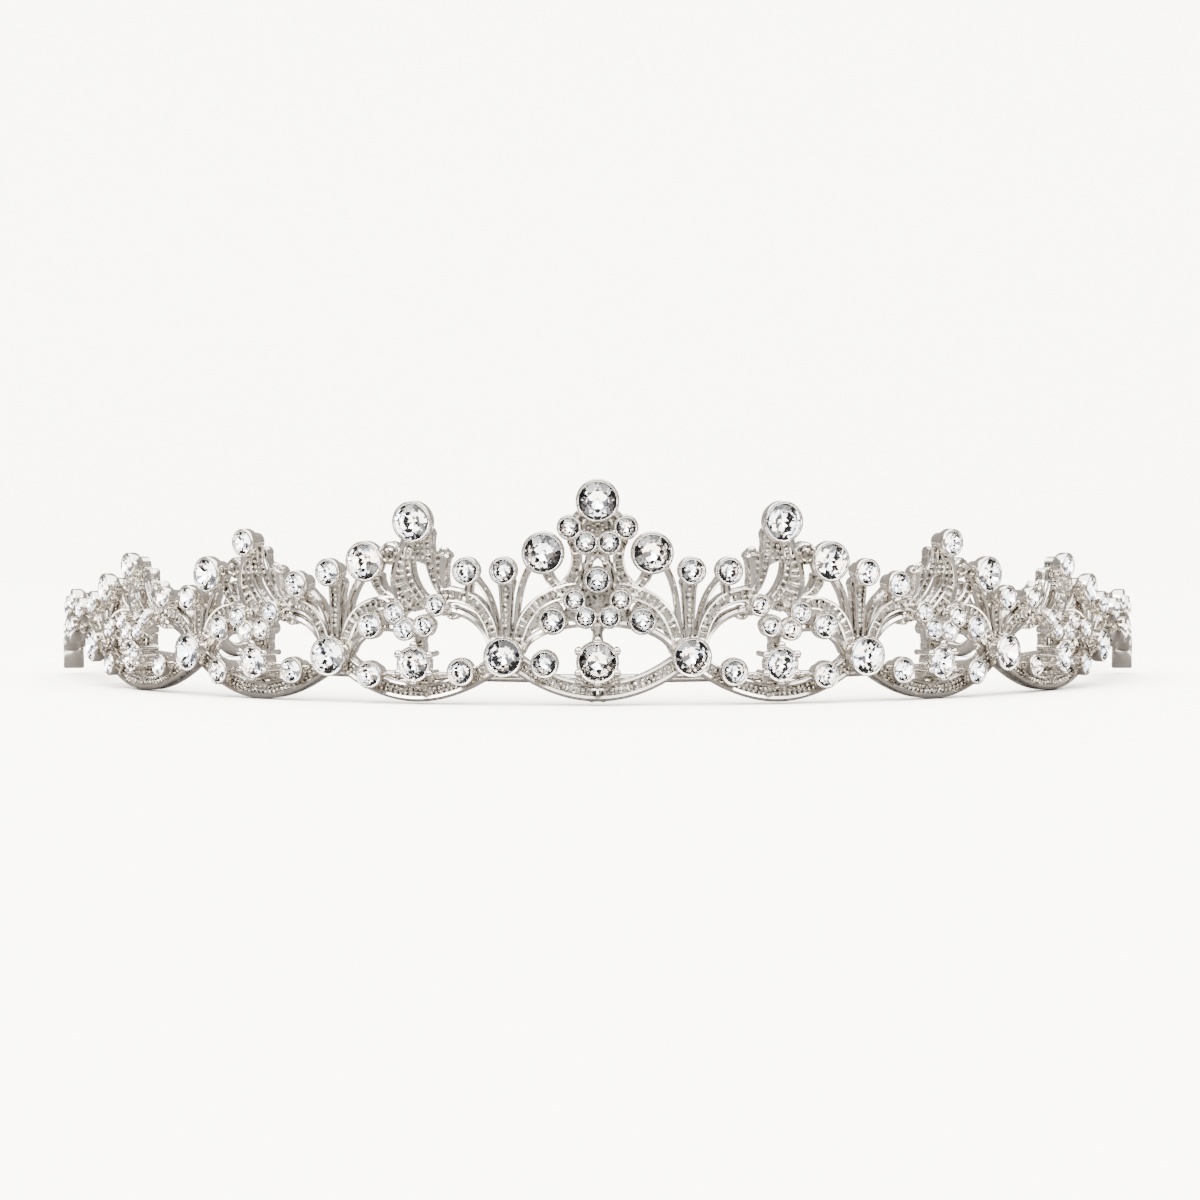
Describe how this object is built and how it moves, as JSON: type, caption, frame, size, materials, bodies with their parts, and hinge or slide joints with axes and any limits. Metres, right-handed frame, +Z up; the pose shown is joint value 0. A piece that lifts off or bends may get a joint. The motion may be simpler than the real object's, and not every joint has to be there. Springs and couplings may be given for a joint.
{
  "type": "crown headband",
  "caption": "Open headband with a pierced silver crown casting along its front, set with round cut clear stones, and a ring loop at each end for a ribbon or hair pins.",
  "frame": {"origin": "centre of the bounding box's bottom, with the crown resting on its two ring loops and the lower edge of its front casting", "axes": "-Y is the front of the crown, +Y the open back of the head, +X the wearer's left and the viewer's right, +Z up"},
  "size_m": [0.1478, 0.1235, 0.0286],
  "materials": {
    "silver": "polished silver-coloured plating on a zinc casting and a steel band",
    "clear_stone": "faceted clear glass with a silvered back"
  },
  "bodies": {
    "root": {"headband": "silver", "casting_centre": "silver", "casting_left_1": "silver", "casting_left_2": "silver", "casting_left_3": "silver", "casting_left_4": "silver", "casting_right_1": "silver", "casting_right_2": "silver", "casting_right_3": "silver", "casting_right_4": "silver", "top_stone": "clear_stone", "large_stone_centre_left": "clear_stone", "large_stone_centre_right": "clear_stone", "prong_stone_centre": "clear_stone", "junction_stone_left_1": "clear_stone", "junction_stone_left_2": "clear_stone", "junction_stone_left_3": "clear_stone", "junction_stone_left_4": "clear_stone", "junction_stone_right_1": "clear_stone", "junction_stone_right_2": "clear_stone", "junction_stone_right_3": "clear_stone", "junction_stone_right_4": "clear_stone", "stem_stone_left_1": "clear_stone", "stem_stone_left_2": "clear_stone", "stem_stone_left_3": "clear_stone", "stem_stone_left_4": "clear_stone", "stem_stone_right_1": "clear_stone", "stem_stone_right_2": "clear_stone", "stem_stone_right_3": "clear_stone", "stem_stone_right_4": "clear_stone", "peak_stone_left_1": "clear_stone", "peak_stone_left_2": "clear_stone", "peak_stone_left_3": "clear_stone", "peak_stone_right_1": "clear_stone", "peak_stone_right_2": "clear_stone", "peak_stone_right_3": "clear_stone", "large_stone_left_1": "clear_stone", "large_stone_left_2": "clear_stone", "large_stone_left_3": "clear_stone", "large_stone_right_1": "clear_stone", "large_stone_right_2": "clear_stone", "large_stone_right_3": "clear_stone", "prong_stone_left_1": "clear_stone", "prong_stone_left_2": "clear_stone", "prong_stone_left_3": "clear_stone", "prong_stone_right_1": "clear_stone", "prong_stone_right_2": "clear_stone", "prong_stone_right_3": "clear_stone", "end_stone_left": "clear_stone", "end_stone_right": "clear_stone", "small_stones_left": "clear_stone", "small_stones_right": "clear_stone"}
  },
  "joints": []
}
